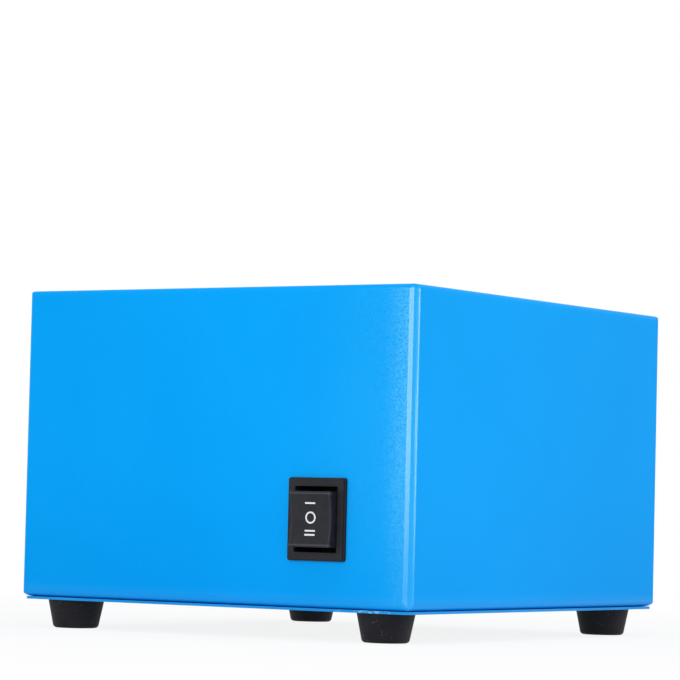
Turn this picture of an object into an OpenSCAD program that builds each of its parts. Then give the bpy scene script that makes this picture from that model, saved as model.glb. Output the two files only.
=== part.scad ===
// Bench-top warm-air dryer for watch parts: a folded steel case on rubber feet, with a
// tubular heating element and an axial fan below an expanded-metal grille.
// Millimetres, +Z up. The origin is under the middle of the box, on the surface it stands on,
// and the front, with the rocker switch, faces -Y.

/* [Case] */
// Width of the case, left to right
case_w = 180; // [176:1:200]
// Depth of the case, front to back
case_d = 195; // [190:1:215]
// Height of the case walls
case_h = 120.3; // [112:0.1:140]
// Thickness of the steel sheet
sheet = 1; // [0.8:0.1:1.2]
// Outer radius of the upright bends
bend_r = 3.2; // [2.6:0.1:4]
// Outer radius of the bends round the top panel
top_r = 2.4; // [1.6:0.1:2.6]
// Outer radius of the bends round the lower edge of the walls
low_r = 3.6; // [2:0.1:4]
// Width of the window in the top panel
window_w = 144; // [130:1:148]
// Depth of the window in the top panel
window_d = 158; // [140:1:162]
// Gap between the walls and the base plate
seam = 0.1; // [0.1:0.1:0.6]

/* [Grille] */
// Long way of one diamond, along X
mesh_long = 12.9; // [12:0.1:15]
// Short way of one diamond, along Y
mesh_short = 7.44; // [7:0.02:9]
// Width of a strand
strand_w = 1.2; // [1:0.1:1.5]
// Thickness of the expanded sheet
strand_t = 1.2; // [1:0.1:1.4]

/* [Feet] */
// Height of a foot
foot_h = 11; // [11:0.5:14]
// Radius of a foot under the base plate
foot_top_r = 11; // [10.5:0.1:11.5]
// Radius of a foot on the ground, before its edge is rounded
foot_low_r = 8.75; // [8.4:0.05:9.2]
// Distance of a foot from the middle, along X
foot_x = 72; // [71:0.5:74]
// Distance of a foot from the middle, along Y
foot_y = 84.5; // [84:0.5:86]

/* [Switch] */
// Middle of the switch, along X
switch_x = 49.3; // [44:0.1:51]
// Middle of the switch above the lower edge of the walls
switch_up = 32.95; // [32:0.05:40]
// Width of the bezel
bezel_w = 25.4; // [25.2:0.1:27]
// Height of the bezel
bezel_h = 31; // [30.5:0.1:32]
// Thickness of the bezel in front of the case
bezel_t = 1.7; // [1.6:0.1:2.2]
// Width of the rocker
rocker_w = 18.2; // [17.4:0.1:18.4]
// Height of the rocker
rocker_h = 20.8; // [20.6:0.1:21.6]
// How far the ends of the rocker stand in front of the case
rocker_proud = 6.4; // [6:0.1:6.8]
// Depth of the dished face of the rocker
dish = 1.4; // [1:0.1:1.6]

/* [Fan] */
// Side of the square fan
fan_side = 135; // [130:1:135]
// Depth of the fan along its axis
fan_h = 38; // [38:1:39]
// Distance of the fan behind the middle of the case
fan_back = 2; // [1:0.5:3]
// Number of blades
blades = 5; // [5:1:7]
// Radius of the blade tips
tip_r = 62.5; // [60:0.5:62.5]
// Pitch of the intake holes in the base plate
intake_pitch = 10; // [9:0.5:11]
// Diameter of an intake hole
intake_d = 5; // [4:0.5:6]

/* [Heating element] */
// Diameter of the sheathed tube
tube_d = 6.5; // [6:0.1:7]
// Depth of the spiral below the top of the case
coil_drop = 28; // [26:1:30]
// Middle of the spiral, along X
coil_x = -5; // [-5.5:0.5:-4.5]
// Direction in which an arm leaves the middle
coil_heading = -32; // [-33:0.5:-31]
// Half of the straight run across the middle
coil_straight = 16; // [15:0.5:17]

/* [Hidden] */
$fn = 64;

// Heights from the ground up
base_z = foot_h;
floor_z = base_z + sheet;
wall_z = floor_z + seam;
top_z = wall_z + case_h;
panel_z = top_z - sheet;

// Common fasteners
m4_r = 2;
m4_hole = 2.2;
m4_head_r = 3.6;
m4_head_h = 2.4;
low_head_h = 1.1;
m4_af = 7;
m4_nut_h = 3.2;
thread_gap = 0.05;

// Finishes
blue = [0.05, 0.6, 0.95];
black = [0.12, 0.12, 0.13];
rubber = [0.1, 0.1, 0.12];
zinc = [0.75, 0.76, 0.78];
steel = [0.55, 0.54, 0.52];
brass = [0.8, 0.65, 0.3];
copper = [0.75, 0.42, 0.25];

// Plain shapes

module rounded_rect(w, d, r) {
    square([w - 2 * r, d], center = true);
    square([w, d - 2 * r], center = true);
    for (x = [-1, 1], y = [-1, 1])
        translate([x * (w / 2 - r), y * (d / 2 - r)]) circle(r);
}

module ring(outer, inner, h) {
    difference() {
        cylinder(r = outer, h = h);
        translate([0, 0, -1]) cylinder(r = inner, h = h + 2);
    }
}

module hex_nut(af, h, bore) {
    difference() {
        cylinder(d = af / cos(30), h = h, $fn = 6);
        translate([0, 0, -1]) cylinder(r = bore, h = h + 2);
    }
}

// Screw standing on its head, with the head below z = 0
module pan_screw(r, length, head_r, head_h) {
    slot = head_r * 1.2;
    recess = 0.42 * head_h;
    cylinder(r = r, h = length);
    difference() {
        translate([0, 0, -head_h]) cylinder(r1 = head_r * 0.8, r2 = head_r, h = head_h);
        for (turn = [0, 90])
            rotate(turn) translate([-slot / 2, -0.45, -head_h - 1]) cube([slot, 0.9, 1 + recess]);
    }
}

// Points of a smooth route through hand-placed points, in steps per span
function between(a, b, c, d, t) =
    (2 * b + (c - a) * t + (2 * a - 5 * b + 4 * c - d) * t * t
    + (3 * b - a - 3 * c + d) * t * t * t) / 2;
function smooth(p, steps) = [
    for (i = [0 : len(p) - 2], s = [0 : steps - (i < len(p) - 2 ? 1 : 0)])
        between(p[max(i - 1, 0)], p[i], p[i + 1], p[min(i + 2, len(p) - 1)], s / steps)
];

// Tube of few sides swept along points, its section carried on without twist
function unit(v) = v / norm(v);
function square_to(n, t) = unit(n - (n * t) * t);
function tangent(p, i) = unit(p[min(i + 1, len(p) - 1)] - p[max(i - 1, 0)]);
function normals(p, first) = [
    for (i = 0, n = square_to(first, tangent(p, 0)); i < len(p);
        n = square_to(n, tangent(p, min(i + 1, len(p) - 1))), i = i + 1) n
];
module swept_tube(p, r, sides, first) {
    n = normals(p, first);
    rings = len(p);
    points = [
        for (i = [0 : rings - 1], s = [0 : sides - 1])
            let (a = 360 * s / sides, side = cross(tangent(p, i), n[i]))
            p[i] + r * (cos(a) * n[i] + sin(a) * side)
    ];
    walls = [
        for (i = [0 : rings - 2], s = [0 : sides - 1])
            let (a = i * sides + s, b = i * sides + (s + 1) % sides)
            each [[a, a + sides, b], [b, a + sides, b + sides]]
    ];
    last = (rings - 1) * sides;
    caps = [
        for (s = [1 : sides - 2]) each [[0, s, s + 1], [last, last + s + 1, last + s]]
    ];
    polyhedron(points = points, faces = concat(walls, caps));
}

// Case

// Box with rounded uprights and rounded edges round its top and its bottom
module folded_box(w, d, low, high, upright, upper, lower) {
    intersection() {
        translate([0, 0, low]) linear_extrude(high - low) rounded_rect(w, d, upright);
        rotate([90, 0, 0]) linear_extrude(d + 2, center = true) side_view(w, low, high, upper, lower);
        rotate([90, 0, 90]) linear_extrude(w + 2, center = true) side_view(d, low, high, upper, lower);
    }
}

module side_view(w, low, high, upper, lower) {
    half = w / 2;
    polygon([
        [lower - half, low], [half - lower, low], [half, low + lower], [half, high - upper],
        [half - upper, high], [upper - half, high], [-half, high - upper], [-half, low + lower]
    ]);
    for (x = [-1, 1]) {
        translate([x * (half - upper), high - upper]) circle(upper);
        translate([x * (half - lower), low + lower]) circle(lower);
    }
}

// The lower edge of the walls turns in as a narrow lip
lip = 5;
switch_z = wall_z + switch_up;
cutout_w = 22;
cutout_h = 28.6;
gland_x = -45;
gland_z = 34;
gland_hole = 6.2;

module case_shell() color(blue) {
    difference() {
        folded_box(case_w, case_d, wall_z, top_z, bend_r, top_r, low_r);
        folded_box(case_w - 2 * sheet, case_d - 2 * sheet, wall_z + sheet, panel_z,
            bend_r - sheet, top_r - sheet, low_r - sheet);
        translate([lip - case_w / 2, lip - case_d / 2, wall_z - 1])
            cube([case_w - 2 * lip, case_d - 2 * lip, sheet + 2]);
        translate([-window_w / 2, -window_d / 2, panel_z - 1]) cube([window_w, window_d, sheet + 2]);
        translate([switch_x - cutout_w / 2, -case_d / 2 - 1, switch_z - cutout_h / 2])
            cube([cutout_w, sheet + 2, cutout_h]);
        translate([gland_x, case_d / 2 - sheet - 1, gland_z]) rotate([-90, 0, 0])
            cylinder(r = gland_hole, h = sheet + 2);
    }
}

// Corner plates welded to the lip, which the feet are bolted through
tab_w = 26;
tab_d = 20;
tab_t = 1.5;

module corner_tabs() color(blue)
    for (i = [0, 1], j = [0, 1]) mirror([i, 0, 0]) mirror([0, j, 0])
        translate([0, 0, floor_z]) difference() {
            translate([case_w / 2 - lip - tab_w, case_d / 2 - lip - tab_d, 0]) cube([tab_w, tab_d, tab_t]);
            translate([foot_x, foot_y, -1]) cylinder(r = m4_hole, h = tab_t + 2);
        }

// Expanded metal: two sets of straight strands that cross, under the rim of the window
mesh_lap = 6;
weld_gap = 0.05;
module mesh_grille() color(blue) {
    w = window_w + 2 * mesh_lap;
    d = window_d + 2 * mesh_lap;
    slope = atan(mesh_short / mesh_long);
    reach = norm([w, d]);
    count = ceil((d / 2 + w / 2 * tan(slope)) / mesh_short);
    translate([0, 0, panel_z - weld_gap - strand_t]) linear_extrude(strand_t) intersection() {
        square([w, d], center = true);
        union() for (side = [-1, 1], i = [-count : count])
            translate([0, i * mesh_short]) rotate(side * slope)
                square([reach, strand_w], center = true);
    }
}

// Base plate with the intake holes under the fan
base_inset = 1.25;
base_corner = 2.2;
intake_rows = 12;
intake_r = 66;
fan_bolt = fan_side * 0.42;

module base_plate() color(blue) {
    middle = (intake_rows - 1) / 2;
    difference() {
        translate([0, 0, base_z]) linear_extrude(sheet) difference() {
            rounded_rect(case_w - 2 * base_inset, case_d - 2 * base_inset, base_corner);
            for (i = [0 : intake_rows - 1], j = [0 : intake_rows - 1])
                let (at = [i - middle, j - middle] * intake_pitch)
                if (norm(at) < intake_r) translate(at + [0, fan_back]) circle(d = intake_d);
        }
        for (x = [-1, 1], y = [-1, 1]) {
            translate([x * foot_x, y * foot_y, base_z - 1]) cylinder(r = m4_hole, h = sheet + 2);
            translate([x * fan_bolt, fan_back + y * fan_bolt, base_z - 1])
                cylinder(r = m4_hole, h = sheet + 2);
        }
        for (x = block_screw_x) translate([x, block_y, base_z - 1])
            cylinder(r = block_screw_r + 0.2, h = sheet + 2);
        translate([earth_x, earth_y, base_z - 1]) cylinder(r = m4_hole, h = sheet + 2);
    }
}

// Feet

foot_edge_r = 1.6;
foot_recess_r = 5.2;
foot_recess_h = 5;
washer_t = 0.8;
washer_r = 4.6;
foot_screw_len = 14;

module foot_profile() {
    lean = atan2(foot_h, foot_top_r - foot_low_r);
    back = foot_edge_r * tan(lean / 2);
    round_at = [foot_low_r - back, foot_edge_r];
    translate(round_at) circle(foot_edge_r);
    polygon([
        [foot_recess_r, 0], [foot_low_r - back, 0], round_at,
        [foot_low_r + back * cos(lean), back * sin(lean)],
        [foot_top_r, foot_h], [m4_hole, foot_h],
        [m4_hole, foot_recess_h], [foot_recess_r, foot_recess_h]
    ]);
}

module foot(x, y) color(rubber)
    translate([x * foot_x, y * foot_y, 0]) rotate_extrude() foot_profile();

module at_feet() {
    for (x = [-1, 1], y = [-1, 1]) translate([x * foot_x, y * foot_y, 0]) children();
}

module foot_front_left() foot(-1, -1);
module foot_front_right() foot(1, -1);
module foot_rear_left() foot(-1, 1);
module foot_rear_right() foot(1, 1);

module foot_washers() color(zinc)
    at_feet() translate([0, 0, foot_recess_h - washer_t]) ring(washer_r, m4_r + 0.15, washer_t);

module foot_screws() color(zinc)
    at_feet() translate([0, 0, foot_recess_h - washer_t])
        pan_screw(m4_r, foot_screw_len, m4_head_r, m4_head_h);

module foot_nuts() color(zinc)
    at_feet() translate([0, 0, floor_z + tab_t]) hex_nut(m4_af, m4_nut_h, m4_r + thread_gap);

// Rocker switch, modelled about its middle on the front face, with +Y into the case

front_y = -case_d / 2;
opening_w = 18.8;
opening_h = 24.5;
body_w = 21.4;
body_h = 28;
body_depth = 20;
back_t = 2;
pivot_y = 3;
pivot_r = 1.5;
pivot_gap = 0.05;
pole_x = 5;
throw_z = 8;
spade_w = 4.8;
spade_t = 0.8;
spade_end = 27;

module at_switch() {
    translate([switch_x, front_y, switch_z]) children();
}

module facing_front(y) {
    translate([0, y, 0]) rotate([90, 0, 0]) children();
}

module at_spades() {
    for (x = [-1, 1], z = [-1, 0, 1]) translate([x * pole_x, 0, z * throw_z]) children();
}

module switch_housing() color(black) at_switch() {
    bevel = 0.6;
    difference() {
        union() {
            facing_front(0) linear_extrude(bezel_t - bevel) rounded_rect(bezel_w, bezel_h, 1);
            facing_front(-(bezel_t - bevel)) linear_extrude(bevel)
                rounded_rect(bezel_w - 2 * bevel, bezel_h - 2 * bevel, 0.8);
            translate([-body_w / 2, -bezel_t / 2, -body_h / 2])
                cube([body_w, body_depth + bezel_t / 2, body_h]);
            for (side = [0, 1]) mirror([side, 0, 0]) translate([0, 0, -5]) linear_extrude(10)
                polygon([
                    [body_w / 2 - 0.5, sheet + 0.1], [body_w / 2 + 1.2, sheet + 0.1],
                    [body_w / 2 + 0.2, 9], [body_w / 2 - 0.5, 9]
                ]);
        }
        translate([-opening_w / 2, -bezel_t - 1, -opening_h / 2])
            cube([opening_w, bezel_t + 1 + body_depth - back_t, opening_h]);
        translate([-body_w, pivot_y, 0]) rotate([0, 90, 0])
            cylinder(r = pivot_r + pivot_gap, h = 2 * body_w);
        at_spades() translate([-spade_w / 2 - 0.1, body_depth - back_t - 1, -spade_t / 2 - 0.1])
            cube([spade_w + 0.2, back_t + 2, spade_t + 0.2]);
    }
}

// The face of the rocker is dished to a cylinder that lies along X
tip_y = -rocker_proud;
dish_r = (pow(rocker_h / 2, 2) + dish * dish) / (2 * dish);
dish_y = tip_y + dish - dish_r;
stem_r = 2.6;
stem_bore = 1.7;
stem_end = 9.5;
rocker_back = 5.5;

module rocker_side() {
    difference() {
        polygon([
            [tip_y, rocker_h / 2], [2, rocker_h / 2], [rocker_back, rocker_h / 4],
            [rocker_back, -rocker_h / 4], [2, -rocker_h / 2], [tip_y, -rocker_h / 2]
        ]);
        translate([dish_y, 0]) circle(dish_r, $fn = 180);
    }
}

module at_poles() {
    for (x = [-1, 1]) translate([x * pole_x, 0, 0]) rotate([-90, 0, 0]) children();
}

module switch_rocker() color(black) at_switch() {
    trunnion = body_w - 0.6;
    difference() {
        union() {
            rotate([90, 0, 90]) linear_extrude(rocker_w, center = true) rocker_side();
            translate([-trunnion / 2, pivot_y, 0]) rotate([0, 90, 0])
                cylinder(r = pivot_r, h = trunnion);
            at_poles() translate([0, 0, rocker_back - 0.5])
                cylinder(r = stem_r, h = stem_end - rocker_back + 0.5);
        }
        at_poles() translate([0, 0, 1.5]) cylinder(r = stem_bore, h = stem_end);
    }
}

// Printed marks: one bar for the upper position, a ring for off, two bars for the lower one
mark_t = 0.1;
mark_w = 4.5;
bar_t = 0.62;
ring_t = 0.6;
ring_up = 0.6;
bar_up = [5.95, -4.3, -5.8];
module switch_marks() color("white") at_switch() {
    intersection() {
        translate([-mark_w, dish_y, 0]) rotate([0, 90, 0]) difference() {
            cylinder(r = dish_r, h = 2 * mark_w, $fn = 180);
            translate([0, 0, -1]) cylinder(r = dish_r - mark_t, h = 2 * mark_w + 2, $fn = 180);
        }
        facing_front(rocker_back) linear_extrude(rocker_back + rocker_proud) {
            for (z = bar_up) translate([0, z]) square([mark_w, bar_t], center = true);
            translate([0, ring_up]) difference() {
                circle(d = mark_w);
                circle(d = mark_w - 2 * ring_t);
            }
        }
    }
}

plunger_r = 1.6;
plunger_tip = 13;
plunger_root = 6;
module switch_plungers() color("ivory") at_switch()
    at_poles() {
        translate([0, 0, plunger_root])
            cylinder(r = plunger_r, h = plunger_tip - plunger_root - plunger_r);
        translate([0, 0, plunger_tip - plunger_r]) sphere(plunger_r);
    }

// Coil springs behind the plungers
spring_turns = 4;
spring_wire_r = 0.2;
spring_rings = 8;
spring_r = 1.3;
spring_low = 1.5 + spring_wire_r + 0.05;
spring_high = plunger_root - spring_wire_r - 0.05;
module switch_springs() color(zinc) at_switch() at_poles()
    swept_tube([
        for (i = [0 : spring_turns * spring_rings]) let (a = 360 * i / spring_rings)
            [spring_r * cos(a), spring_r * sin(a),
                spring_low + (spring_high - spring_low) * i / (spring_turns * spring_rings)]
    ], spring_wire_r, 6, [0, 0, 1]);

// Contact levers rock on the middle terminals and meet the outer ones
lever_front = 13.3;
lever_t = 0.6;
lever_half = 8.5;
lever_w = 4;
module contact_levers() color(copper) at_switch()
    for (x = [-1, 1]) translate([x * pole_x - lever_w / 2, lever_front, -lever_half])
        cube([lever_w, lever_t, 2 * lever_half]);

fulcrum_y = lever_front + lever_t + 0.3;
contact_y = 15;
module switch_terminals() color(brass) at_switch() {
    for (x = [-1, 1]) {
        translate([x * pole_x - spade_w / 2, fulcrum_y, -spade_t / 2])
            cube([spade_w, spade_end - fulcrum_y, spade_t]);
        for (z = [-1, 1]) translate([x * pole_x, 0, z * throw_z]) {
            translate([-spade_w / 2, contact_y + 1, -spade_t / 2])
                cube([spade_w, spade_end - contact_y - 1, spade_t]);
            translate([0, contact_y, 0]) rotate([-90, 0, 0]) cylinder(r = 1.4, h = 1.5);
        }
    }
}

// Insulated receptacles on the spades that are wired; each lead leaves to the side
receptacle = [6.4, 6, 4.4];
receptacle_y = body_depth + 0.8;
used_spades = [[-1, 1], [1, 1], [1, 0]];
module wire_receptacles() color("crimson") at_switch()
    for (u = used_spades) difference() {
        translate([u[0] * pole_x - receptacle[0] / 2, receptacle_y, u[1] * throw_z - receptacle[2] / 2])
            cube(receptacle);
        translate([u[0] * pole_x - spade_w / 2 - 0.05, receptacle_y - 1,
            u[1] * throw_z - spade_t / 2 - 0.05])
            cube([spade_w + 0.1, spade_end - receptacle_y + 1.05, spade_t + 0.1]);
    }

// Axial fan, intake below and struts above

fan_z = floor_z;
fan_top = fan_z + fan_h;
flange_t = 4.5;
duct_r = tip_r + 1;
duct_wall = 2.5;
plate_z = fan_top - 5;
plate_t = 3;
plate_r = 30;
hub_r = 31;
hub_low = fan_z + 5;
hub_high = hub_low + 25;
cup_r = 29.5;
cup_wall = 2.2;
cup_floor = 2.5;
shaft_r = 2.5;
tube_r = 7;
tube_bore = 5.5;
tube_low = fan_z + 10;
struts = 4;
strut_w = 5;
strut_side = 4;

module at_fan(z) {
    translate([0, fan_back, z]) children();
}

module at_fan_bolts(z) {
    for (x = [-1, 1], y = [-1, 1]) translate([x * fan_bolt, fan_back + y * fan_bolt, z]) children();
}

lug_x = 20;
lug_gap = 4;
lug_z = 22;
lug_block = [16, 8, 8];
module fan_frame() color(black) {
    difference() {
        union() {
            at_fan(fan_z) for (z = [0, fan_h - flange_t]) translate([0, 0, z])
                linear_extrude(flange_t) rounded_rect(fan_side, fan_side, 6);
            at_fan(fan_z) cylinder(r = duct_r + duct_wall, h = fan_h);
            translate([lug_x, fan_back - fan_side / 2 + 3, fan_z + lug_z])
                translate([-lug_block[0] / 2, 0, -lug_block[2] / 2]) cube(lug_block);
        }
        at_fan(fan_z - 1) cylinder(r = duct_r, h = fan_h + 2, $fn = 128);
        at_fan_bolts(fan_z - 1) cylinder(r = m4_hole, h = fan_h + 2);
    }
    at_fan(plate_z) {
        cylinder(r = plate_r, h = plate_t);
        for (i = [0 : struts - 1]) rotate(45 + i * 360 / struts)
            translate([plate_r - 3, strut_side, -0.5]) cube([duct_r - plate_r + 4, strut_w, plate_t + 0.5]);
    }
    at_fan(tube_low) ring(tube_r, tube_bore, plate_z - tube_low + 1);
}

// A blade is a strip of a cylinder that lies along its radius, tilted to the pitch of the blade
blade_pitch = 36;
blade_chord = 38;
blade_t = 1.8;
camber_r = 52;
module blade() {
    intersection() {
        difference() {
            cylinder(r = tip_r, h = 60, center = true, $fn = 128);
            cylinder(r = hub_r - 0.7, h = 62, center = true);
        }
        rotate([-blade_pitch, 0, 0]) intersection() {
            translate([0, 0, -camber_r]) rotate([0, 90, 0]) difference() {
                cylinder(r = camber_r + blade_t / 2, h = tip_r + 5, $fn = 128);
                translate([0, 0, -1]) cylinder(r = camber_r - blade_t / 2, h = tip_r + 7, $fn = 128);
            }
            translate([0, -blade_chord / 2, -15]) cube([tip_r + 5, blade_chord, 30]);
        }
    }
}

module fan_impeller() color(black) at_fan(0) {
    translate([0, 0, hub_low]) ring(hub_r, cup_r + 0.05, hub_high - hub_low);
    translate([0, 0, (hub_low + hub_high) / 2])
        for (i = [0 : blades - 1]) rotate(i * 360 / blades) blade();
}

module rotor_cup() color(steel) at_fan(hub_low) difference() {
    cylinder(r = cup_r, h = hub_high - hub_low);
    translate([0, 0, cup_floor]) cylinder(r = cup_r - cup_wall, h = hub_high);
    translate([0, 0, -1]) cylinder(r = shaft_r + 0.02, h = cup_floor + 2);
}

module fan_shaft() color(zinc) at_fan(hub_low) cylinder(r = shaft_r, h = plate_z - hub_low - 0.5);

bearing_h = 4;
bearing_up = [2, 15];
module fan_bearings() color(zinc) for (z = bearing_up)
    at_fan(tube_low + z) ring(tube_bore - 0.05, shaft_r + 0.05, bearing_h);

core_z = fan_z + 13;
core_h = 12;
poles = 4;
pole_w = 9;
core_r = cup_r - cup_wall - 0.5;
core_ring_r = 11;
shoe_r = 23.5;
shoe_reach = [40, 26];
module stator_core() color(steel) at_fan(core_z) {
    ring(core_ring_r, tube_r + 0.05, core_h);
    for (i = [0 : poles - 1]) rotate(45 + i * 360 / poles) {
        translate([core_ring_r - 1, -pole_w / 2, 0]) cube([shoe_r - core_ring_r + 1.5, pole_w, core_h]);
        intersection() {
            ring(core_r, shoe_r, core_h);
            linear_extrude(core_h)
                polygon([[0, 0], [shoe_reach[0], -shoe_reach[1]], [shoe_reach[0], shoe_reach[1]]]);
        }
    }
}

winding_w = 15;
winding_l = 9;
winding_from = 13;
winding_over = 3;
module stator_windings() color(copper) at_fan(core_z)
    for (i = [0 : poles - 1]) rotate(45 + i * 360 / poles) difference() {
        translate([winding_from, -winding_w / 2, -winding_over])
            cube([winding_l, winding_w, core_h + 2 * winding_over]);
        translate([winding_from - 1, -pole_w / 2 - 0.05, -0.05])
            cube([winding_l + 2, pole_w + 0.1, core_h + 0.1]);
    }

label_r = 28;
label_t = 0.15;
module fan_label() color("silver") at_fan(plate_z + plate_t) cylinder(r = label_r, h = label_t);

lug_w = 2.8;
lug_out = 5.5;
module fan_lugs() color(brass)
    for (x = [-1, 1])
        translate([lug_x + x * lug_gap - lug_w / 2, fan_back - fan_side / 2 + 3 - lug_out - 3,
            fan_z + lug_z - 0.25])
            cube([lug_w, lug_out + 3, 0.5]);

bolt_len = fan_h + sheet + 7;
// Low heads, which stay out of sight under the base plate
module fan_bolts() color(black)
    at_fan_bolts(base_z) pan_screw(m4_r, bolt_len, m4_head_r, low_head_h);

// Two of the bolts also hold the heater brackets
module fan_nuts() color(black)
    for (x = [-1, 1], y = [-1, 1])
        translate([x * fan_bolt, fan_back + y * fan_bolt, fan_top + (x * y < 0 ? bracket_t : 0)])
            hex_nut(m4_af, m4_nut_h, m4_r + thread_gap);

// Heating element: two like arms of arcs wind out from a straight run across the middle,
// and each ends in an elbow and a leg down to its terminal

coil_z = top_z - coil_drop;
coil_y = 0;
tube_rad = tube_d / 2;
// Radius and sweep of each arc of an arm, from the middle outwards
arcs = [[20, 154], [66, 60], [47, 90], [65, 45], [80, 45], [58, 90], [101, 45], [67, 45], [109, 22]];
elbow_r = 12;
leg_low = coil_z - 29;

function sum_to(list, n, i = 0) = i >= n ? 0 : list[i] + sum_to(list, n, i + 1);
function ahead(a) = [cos(a), sin(a)];
function left_of(a) = [-sin(a), cos(a)];
sweeps = [for (a = arcs) a[1]];
headings = [for (i = [0 : len(arcs)]) coil_heading + sum_to(sweeps, i)];
starts = [
    for (i = 0, p = coil_straight * ahead(coil_heading); i <= len(arcs);
        p = p + (i < len(arcs) ? arcs[i][0] * (left_of(headings[i]) - left_of(headings[i + 1])) : [0, 0]),
        i = i + 1) p
];
arm_end = starts[len(arcs)];
arm_out = headings[len(arcs)];
leg_at = arm_end + elbow_r * ahead(arm_out);

// Points along one arm, from the end of the straight run to the foot of the leg
ring_step = 6.5;
elbow_steps = 6;
tube_sides = 10;
arm_points = concat(
    [concat(starts[0], 0)],
    [
        for (i = [0 : len(arcs) - 1])
            let (r = arcs[i][0], a = headings[i], count = ceil(r * sweeps[i] * PI / 180 / ring_step))
            for (s = [1 : count])
                concat(starts[i] + r * (left_of(a) - left_of(a + sweeps[i] * s / count)), 0)
    ],
    [
        for (s = [1 : elbow_steps]) let (b = 90 * s / elbow_steps)
            concat(arm_end + elbow_r * sin(b) * ahead(arm_out), elbow_r * (cos(b) - 1))
    ],
    [concat(leg_at, leg_low - coil_z)]
);
coil_points = concat(
    [for (i = [len(arm_points) - 1 : -1 : 0]) [-arm_points[i][0], -arm_points[i][1], arm_points[i][2]]],
    arm_points
);

// The least gap between two turns, measured on the points of the tube
turn_apart = 8;
least_gap = min([
    for (i = [0 : len(coil_points) - 1], j = [i + turn_apart : 1 : len(coil_points) - 1])
        norm(coil_points[i] - coil_points[j])
]) - tube_d;
echo(least_gap_between_turns = least_gap);

module both_arms() {
    translate([coil_x, coil_y, 0]) for (turn = [0, 180]) rotate(turn) children();
}

module heating_element() color(steel)
    translate([coil_x, coil_y, coil_z]) swept_tube(coil_points, tube_rad, tube_sides, [1, 0, 0]);

module at_legs(z) {
    both_arms() translate(concat(leg_at, z)) children();
}

// C-shaped brackets on two corners of the fan carry the legs
bracket_t = 1.5;
bracket_top = leg_low + 9;
bracket_w = 17;
bracket_lap = 8;
bush_r = 5;
module heater_brackets() color(blue)
    for (side = [-1, 1]) {
        leg = [coil_x, coil_y] + side * leg_at;
        bolt = [-side * fan_bolt, fan_back + side * fan_bolt];
        inner = bolt[1] - side * bracket_lap;
        span = abs(leg[1] - inner) + bracket_lap;
        aside = leg[0] - bolt[0];
        left = min(aside, 0) - bracket_lap - 1;
        right = max(aside, 0) + bracket_lap + 1;
        translate([bolt[0], inner, 0]) mirror([0, side < 0 ? 1 : 0, 0]) difference() {
            union() {
                translate([-bracket_w / 2, 0, fan_top]) {
                    cube([bracket_w, 2 * bracket_lap, bracket_t]);
                    cube([bracket_w, bracket_t, bracket_top - fan_top]);
                }
                translate([left, 0, bracket_top - bracket_t]) cube([right - left, span, bracket_t]);
            }
            translate([0, bracket_lap, fan_top - 1]) cylinder(r = m4_hole, h = bracket_t + 2);
            translate([aside, span - bracket_lap, bracket_top - bracket_t - 1])
                cylinder(r = bush_r + 0.1, h = bracket_t + 2);
        }
    }

collar_h = 4;
bush_af = 13;
module heater_bushes() color(steel) {
    at_legs(leg_low + 1) ring(bush_r, tube_rad + 0.05, bracket_top - leg_low - 1);
    at_legs(bracket_top) hex_nut(bush_af, collar_h, tube_rad + 0.05);
}

bush_nut_h = 3.5;
module heater_nuts() color(steel)
    at_legs(bracket_top - bracket_t - bush_nut_h) hex_nut(bush_af, bush_nut_h, bush_r + thread_gap);

insulator_h = 4;
insulator_r = 3.6;
stud_r = 1.5;
stud_low = leg_low - 13;
module heater_insulators() color("white")
    at_legs(leg_low - insulator_h) ring(insulator_r, stud_r + 0.05, insulator_h);

module heater_studs() color(zinc)
    at_legs(stud_low) cylinder(r = stud_r, h = leg_low - stud_low);

stud_nut_z = stud_low + 2;
stud_nut_h = 2.4;
stud_nut_af = 5.5;
module stud_nuts() color(zinc)
    at_legs(stud_nut_z) hex_nut(stud_nut_af, stud_nut_h, stud_r + thread_gap);

// Terminal block behind the fan

block_y = 83;
block_pitch = 10;
block_poles = [20, 30, 40, 50];
block_d = 16;
block_h = 15;
block_hole_z = floor_z + 7;
insert_r = 2.6;
insert_bore = 1.7;
block_screw_x = [25, 45];
block_screw_r = 1.4;
block_screw_len = 4.5;
block_head = [2.6, low_head_h];
pole_block_w = 8;
block_web_h = 5;
clamp_y = [-3.5, 3.5];

module terminal_block() color(black) difference() {
    union() {
        translate([block_poles[0] - block_pitch / 2, block_y - block_d / 2, floor_z])
            cube([block_pitch * len(block_poles), block_d, block_web_h]);
        for (x = block_poles) translate([x - pole_block_w / 2, block_y - block_d / 2, floor_z])
            cube([pole_block_w, block_d, block_h]);
    }
    for (x = block_poles) {
        translate([x, block_y - block_d / 2 - 1, block_hole_z]) rotate([-90, 0, 0])
            cylinder(r = insert_r + 0.05, h = block_d + 2);
        for (y = clamp_y) translate([x, block_y + y, block_hole_z]) cylinder(r = 1.9, h = block_h);
    }
    for (x = block_screw_x) translate([x, block_y, floor_z - 1])
        cylinder(r = block_screw_r + 0.05, h = block_screw_len + 0.5);
}

module terminal_inserts() color(brass)
    for (x = block_poles) translate([x, block_y - block_d / 2 + 1.5, block_hole_z]) rotate([-90, 0, 0])
        ring(insert_r, insert_bore, block_d - 3);

module terminal_screws() color(zinc)
    for (x = block_poles, y = clamp_y) translate([x, block_y + y, block_hole_z + insert_r + 0.1])
        difference() {
            cylinder(r = 1.6, h = 4);
            translate([-3, -0.3, 3.2]) cube([6, 0.6, 2]);
        }

module block_screws() color(zinc)
    for (x = block_screw_x) translate([x, block_y, base_z])
        pan_screw(block_screw_r, block_screw_len, block_head[0], block_head[1]);

// Internal wiring: each lead follows points placed by hand

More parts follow.
